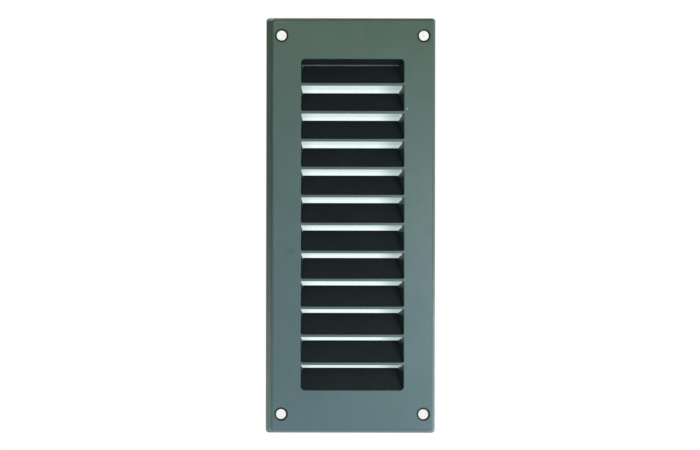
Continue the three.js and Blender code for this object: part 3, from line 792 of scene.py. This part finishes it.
def stage_material(name, seen, strength, bounce):
    """A pale matt surface: looks near white, and lights the object softly."""
    mat = bpy.data.materials.new(name)
    mat.use_nodes = True
    t = mat.node_tree
    t.nodes.clear()
    out = t.nodes.new("ShaderNodeOutputMaterial")
    lp = t.nodes.new("ShaderNodeLightPath")
    mixn = t.nodes.new("ShaderNodeMixShader")
    emc = t.nodes.new("ShaderNodeEmission")
    emc.inputs["Color"].default_value = (1, 1, 1, 1)
    emc.inputs["Strength"].default_value = seen
    dif = t.nodes.new("ShaderNodeBsdfDiffuse")
    dif.inputs["Color"].default_value = (0.8, 0.8, 0.8, 1)
    eml = t.nodes.new("ShaderNodeEmission")
    eml.inputs["Color"].default_value = bounce
    eml.inputs["Strength"].default_value = strength
    add = t.nodes.new("ShaderNodeAddShader")
    t.links.new(dif.outputs[0], add.inputs[0])
    t.links.new(eml.outputs[0], add.inputs[1])
    t.links.new(lp.outputs["Is Camera Ray"], mixn.inputs["Fac"])
    t.links.new(add.outputs[0], mixn.inputs[1])
    # seen at a low angle it is plain white; seen from above its soft shading shows
    geo = t.nodes.new("ShaderNodeNewGeometry")
    dot = t.nodes.new("ShaderNodeVectorMath")
    dot.operation = "DOT_PRODUCT"
    t.links.new(geo.outputs["Incoming"], dot.inputs[0])
    t.links.new(geo.outputs["Normal"], dot.inputs[1])
    fade = t.nodes.new("ShaderNodeMapRange")
    fade.interpolation_type = "SMOOTHSTEP"
    for key, val in (("From Min", 0.24), ("From Max", 0.36), ("To Min", 0.0), ("To Max", 1.0)):
        fade.inputs[key].default_value = val
    t.links.new(dot.outputs["Value"], fade.inputs["Value"])
    glow = t.nodes.new("ShaderNodeEmission")
    glow.inputs["Strength"].default_value = 0.60
    lit = t.nodes.new("ShaderNodeAddShader")
    t.links.new(dif.outputs[0], lit.inputs[0])
    t.links.new(glow.outputs[0], lit.inputs[1])
    above = t.nodes.new("ShaderNodeMixShader")
    t.links.new(fade.outputs[0], above.inputs["Fac"])
    t.links.new(emc.outputs[0], above.inputs[1])
    t.links.new(lit.outputs[0], above.inputs[2])
    t.links.new(above.outputs[0], mixn.inputs[2])
    t.links.new(mixn.outputs[0], out.inputs["Surface"])
    return mat


floor.data.materials.append(stage_material("pale_floor", 1.0, 0.44, (0.97, 1.0, 1.0, 1)))

# Pale one-sided cards stand for the lit surface behind the grille. They show only to the
# camera and only from the front, through the gaps and the corner holes, and neither block
# nor add light. They are staging and no part of the grille.
def backdrop_material():
    mat = bpy.data.materials.new("backdrop_white")
    mat.use_nodes = True
    t = mat.node_tree
    t.nodes.clear()

    def node(kind, **inputs):
        n = t.nodes.new(kind)
        for key, val in inputs.items():
            n.inputs[key.replace("_", " ")].default_value = val
        return n

    def maths(op, a, b):
        n = t.nodes.new("ShaderNodeMath")
        n.operation = op
        for q, v in zip(n.inputs, (a, b)):
            if isinstance(v, (int, float)):
                q.default_value = v
            else:
                t.links.new(v, q)
        return n.outputs[0]

    def ramp(value, lo, hi, to_lo, to_hi, smooth=True):
        n = node("ShaderNodeMapRange", From_Min=lo, From_Max=hi, To_Min=to_lo, To_Max=to_hi)
        n.interpolation_type = "SMOOTHSTEP" if smooth else "LINEAR"
        t.links.new(value, n.inputs["Value"])
        return n.outputs[0]

    out = t.nodes.new("ShaderNodeOutputMaterial")
    lp = t.nodes.new("ShaderNodeLightPath")
    geo = t.nodes.new("ShaderNodeNewGeometry")
    seen = maths("MULTIPLY", lp.outputs["Is Camera Ray"], maths("SUBTRACT", 1.0, geo.outputs["Backfacing"]))
    scale = t.nodes.new("ShaderNodeVectorMath")
    scale.operation = "SCALE"
    scale.inputs["Scale"].default_value = 1000.0
    t.links.new(geo.outputs["Position"], scale.inputs[0])
    sep = t.nodes.new("ShaderNodeSeparateXYZ")
    t.links.new(scale.outputs[0], sep.inputs[0])
    x, z = sep.outputs[0], sep.outputs[2]
    # shade falls off towards both ends of a gap, more at the right
    level = maths("MULTIPLY", ramp(x, -24.5, -17.5, 0.80, 1.0), ramp(x, 12.0, 23.0, 1.0, 0.60))
    # painted shade: each gap is a little darker under its bar
    up = maths("MODULO", maths("ADD", z, -SLOT0_BOTTOM + PITCH * SLOTS), PITCH)
    level = maths("MULTIPLY", level, ramp(up, 11.2, 11.9, 1.0, 0.84))
    # painted shade: the lowest gaps are darker
    level = maths("MULTIPLY", level, ramp(z, -78.0, -58.0, 0.86, 1.0))
    mottle = node("ShaderNodeTexNoise", Scale=1.1, Detail=3.0)
    t.links.new(scale.outputs[0], mottle.inputs["Vector"])
    soft = ramp(mottle.outputs["Fac"], 0.3, 0.7, 0.955, 1.03, False)
    level = maths("MULTIPLY", level, soft)
    # plain mottled white behind the corner holes
    hole = ramp(maths("ABSOLUTE", z, 0.0), 84.0, 84.5, 0.0, 1.0, False)
    spots = ramp(mottle.outputs["Fac"], 0.34, 0.62, 0.80, 1.0, False)
    gaps_e, holes_e = node("ShaderNodeEmission", Color=(0.885, 1.0, 0.985, 1)), node("ShaderNodeEmission", Color=(0.985, 1.0, 0.965, 1))
    tint = t.nodes.new("ShaderNodeCombineColor")
    t.links.new(ramp(level, 0.5, 1.0, 0.80, 0.885, False), tint.inputs[0])
    tint.inputs[1].default_value = 1.0
    tint.inputs[2].default_value = 0.985
    t.links.new(tint.outputs[0], gaps_e.inputs["Color"])
    t.links.new(maths("MULTIPLY", level, 1.0), gaps_e.inputs["Strength"])
    t.links.new(maths("MULTIPLY", spots, 0.99), holes_e.inputs["Strength"])
    pick = t.nodes.new("ShaderNodeMixShader")
    t.links.new(hole, pick.inputs["Fac"])
    t.links.new(gaps_e.outputs[0], pick.inputs[1])
    t.links.new(holes_e.outputs[0], pick.inputs[2])
    clear = t.nodes.new("ShaderNodeBsdfTransparent")
    mix = t.nodes.new("ShaderNodeMixShader")
    t.links.new(seen, mix.inputs["Fac"])
    t.links.new(clear.outputs[0], mix.inputs[1])
    t.links.new(pick.outputs[0], mix.inputs[2])
    t.links.new(mix.outputs[0], out.inputs["Surface"])
    return mat


def backdrop_card(name, cx, cz, hx, hz, y, mat):
    me = bpy.data.meshes.new(name)
    pts = [(cx - hx, y, cz - hz), (cx + hx, y, cz - hz), (cx + hx, y, cz + hz), (cx - hx, y, cz + hz)]
    me.from_pydata([(q[0] * MM, q[1] * MM, q[2] * MM) for q in pts], [], [(0, 1, 2, 3)])
    o = bpy.data.objects.new(name, me)
    scene.collection.objects.link(o)
    me.materials.append(mat)
    return o


M_BACKDROP = backdrop_material()
backdrop_card("backdrop_gaps", 0, -0.5, 26.8, 81.0, 3.97, M_BACKDROP)
for sx in (-1, 1):
    for sz in (-1, 1):
        backdrop_card("backdrop_hole_%s_%s" % ("top" if sz > 0 else "bottom", "right" if sx > 0 else "left"), sx * HOLE_X, sz * HOLE_Z, 3.6, 3.6, 1.0, M_BACKDROP)

world = bpy.data.worlds.new("soft_studio")
scene.world = world
world.use_nodes = True
wt = world.node_tree
wt.nodes.clear()
w_out = wt.nodes.new("ShaderNodeOutputWorld")
w_lp = wt.nodes.new("ShaderNodeLightPath")
w_mix = wt.nodes.new("ShaderNodeMixShader")
w_cam = wt.nodes.new("ShaderNodeBackground")
w_cam.inputs["Color"].default_value = (1, 1, 1, 1)
w_cam.inputs["Strength"].default_value = 1.0
w_lit = wt.nodes.new("ShaderNodeBackground")
w_lit.inputs["Color"].default_value = (0.96, 1.0, 0.98, 1)
w_tc = wt.nodes.new("ShaderNodeTexCoord")
w_sep = wt.nodes.new("ShaderNodeSeparateXYZ")
wt.links.new(w_tc.outputs["Generated"], w_sep.inputs[0])


def w_math(op, a, b):
    m = wt.nodes.new("ShaderNodeMath")
    m.operation = op
    for s, v in zip(m.inputs, (a, b)):
        if isinstance(v, (int, float)):
            s.default_value = v
        else:
            wt.links.new(v, s)
    return m.outputs[0]


# brighter from the right, darker from the left and from above
w_x = w_math("ADD", w_math("MULTIPLY", w_sep.outputs[0], 0.72), 1.0)
w_z = w_math("ADD", w_math("MULTIPLY", w_sep.outputs[2], -0.22), 1.0)
wt.links.new(w_math("MULTIPLY", w_math("MULTIPLY", w_x, w_z), 0.34), w_lit.inputs["Strength"])
wt.links.new(w_lp.outputs["Is Camera Ray"], w_mix.inputs["Fac"])
wt.links.new(w_lit.outputs[0], w_mix.inputs[1])
wt.links.new(w_cam.outputs[0], w_mix.inputs[2])
wt.links.new(w_mix.outputs[0], w_out.inputs["Surface"])


def soft_light(name, loc, target, size_x, size_y, power, colour=(1, 1, 1)):
    d = bpy.data.lights.new(name, "AREA")
    d.shape = "RECTANGLE"
    d.size, d.size_y = size_x, size_y
    d.energy = power
    d.color = colour
    o = bpy.data.objects.new(name, d)
    o.location = loc
    o.rotation_euler = (Vector(target) - Vector(loc)).to_track_quat("-Z", "Y").to_euler()
    o.visible_camera = False
    scene.collection.objects.link(o)
    return o


soft_light("key_low_right", (0.155, -0.23, -0.012), (0.01, 0, -0.01), 0.12, 0.10, 0.42, (0.98, 1.0, 1.0))
soft_light("fill_front", (-0.3, -1.3, 0.5), (0, 0, 0), 1.0, 0.8, 3.0, (1.0, 1.0, 1.0))
back_fill = soft_light("back_fill", (0.35, 1.1, 0.5), (0, 0, 0), 1.0, 0.8, 16.0, (1.0, 1.0, 1.0))
back_fill.visible_glossy = False
soft_light("back_glint", (-0.30, 0.85, 0.75), (0, 0, 0), 0.5, 0.4, 2.0, (1.0, 1.0, 1.0))

# ---------------------------------------------------------------------- camera
cam_data = bpy.data.cameras.new("photo_camera")
cam = bpy.data.objects.new("photo_camera", cam_data)
scene.collection.objects.link(cam)
scene.camera = cam
cam_data.sensor_width = 36.0
cam_data.lens = 43.55
cam_data.clip_start, cam_data.clip_end = 0.01, 50.0
CAM = Vector((-0.0502, -0.4105, -0.0149))
cam.location = CAM
cam.rotation_euler = (math.radians(90), math.radians(-0.10), 0)
# The lens shift belongs to this one viewpoint, so it is only on while the camera stands there.
for attr, value in (("shift_x", 0.1459), ("shift_y", 0.0439)):
    fc = cam_data.driver_add(attr)
    drv = fc.driver
    drv.type = "SCRIPTED"
    for axis, nm in (("LOC_X", "px"), ("LOC_Y", "py")):
        v = drv.variables.new()
        v.name = nm
        v.type = "TRANSFORMS"
        v.targets[0].id = cam
        v.targets[0].transform_type = axis
        v.targets[0].transform_space = "WORLD_SPACE"
    drv.expression = "%.6f if abs(px - %.6f) + abs(py - %.6f) < 0.001 else 0.0" % (value, CAM.x, CAM.y)

scene.view_settings.view_transform = "Standard"
scene.view_settings.look = "None"
scene.view_settings.exposure = 0.0
scene.view_settings.gamma = 1.0
